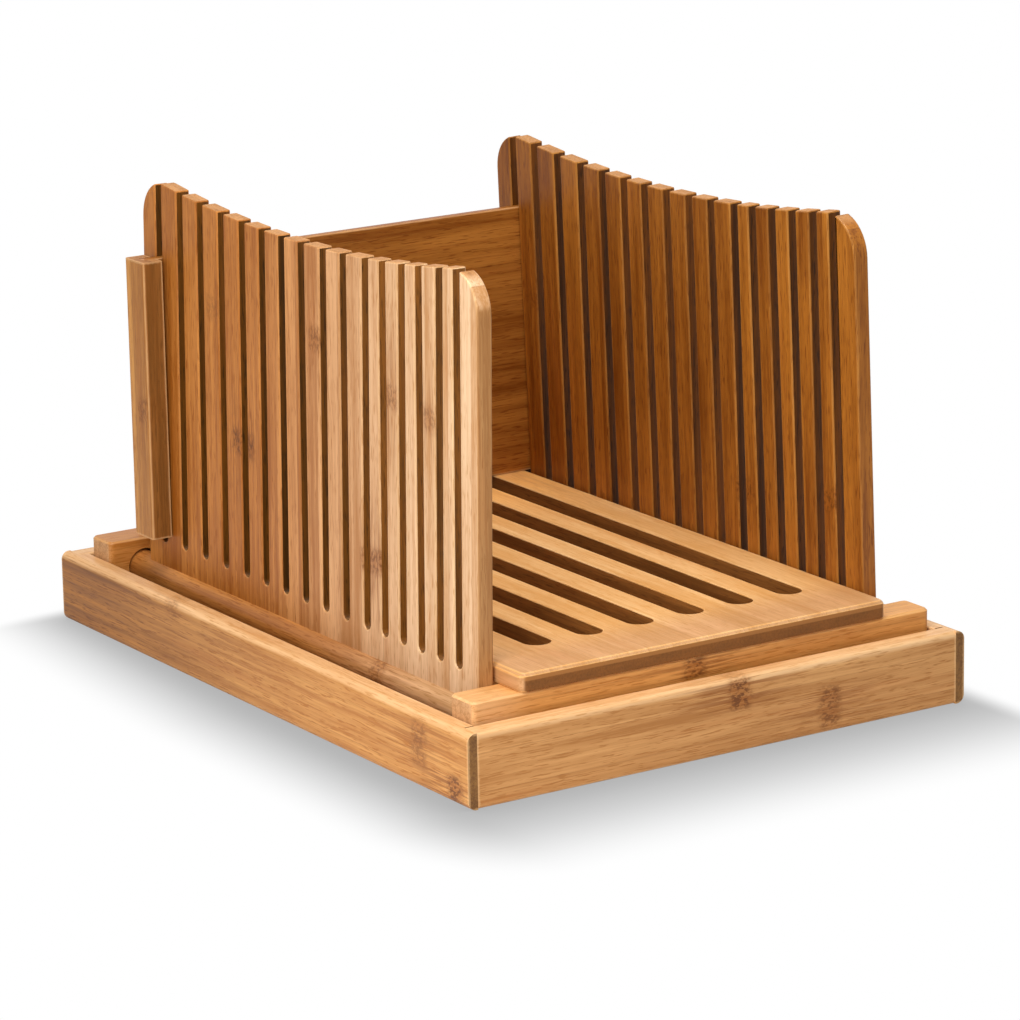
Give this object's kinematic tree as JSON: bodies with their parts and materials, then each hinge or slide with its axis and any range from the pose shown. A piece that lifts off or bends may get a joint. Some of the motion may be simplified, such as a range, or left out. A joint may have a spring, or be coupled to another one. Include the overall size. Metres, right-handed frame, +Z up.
{
  "type": "bread slicer guide",
  "caption": "Wooden guide for slicing a loaf: slotted board between two slotted walls on hinge rods, a lift-out back board, and a tray under it for crumbs.",
  "frame": {"origin": "middle of the crumb tray's footprint, on the surface it stands on", "axes": "+Z up, +Y to the back board, +X to the right wall"},
  "size_m": [0.27, 0.37, 0.2262],
  "materials": {
    "bamboo": "oiled bamboo, honey brown",
    "bamboo_dark": "oiled bamboo, darker",
    "bamboo_light": "oiled bamboo, pale top",
    "steel": "plain screw steel"
  },
  "bodies": {
    "tray": {"tray_left_side": "bamboo", "tray_right_side": "bamboo", "tray_front_end": "bamboo", "tray_rear_end": "bamboo", "tray_floor": "bamboo"},
    "frame": {"front_rail": "bamboo", "back_rail": "bamboo", "bread_board": "bamboo_light", "frame_screws": "steel"},
    "left_wall": {"left_wall": "bamboo_dark", "left_hinge_rod": "bamboo"},
    "right_wall": {"right_wall": "bamboo_dark", "right_hinge_rod": "bamboo"},
    "back_board": {"back_board": "bamboo_dark", "left_post": "bamboo", "right_post": "bamboo"}
  },
  "joints": [
    {"name": "frame_lift", "type": "slide", "parent": "tray", "child": "frame", "axis": [0, 0, 1], "range_m": [0, 0.06]},
    {"name": "left_wall_lean", "type": "hinge", "parent": "frame", "child": "left_wall", "pos_m": [-0.1053, 0, 0.029], "axis": [0, 1, 0], "range_deg": [-1.1, 2.5]},
    {"name": "right_wall_lean", "type": "hinge", "parent": "frame", "child": "right_wall", "pos_m": [0.1053, 0, 0.029], "axis": [0, -1, 0], "range_deg": [-2, 1.6]},
    {"name": "back_board_lift", "type": "slide", "parent": "frame", "child": "back_board", "axis": [0, 0, 1], "range_m": [0, 0.17]}
  ]
}
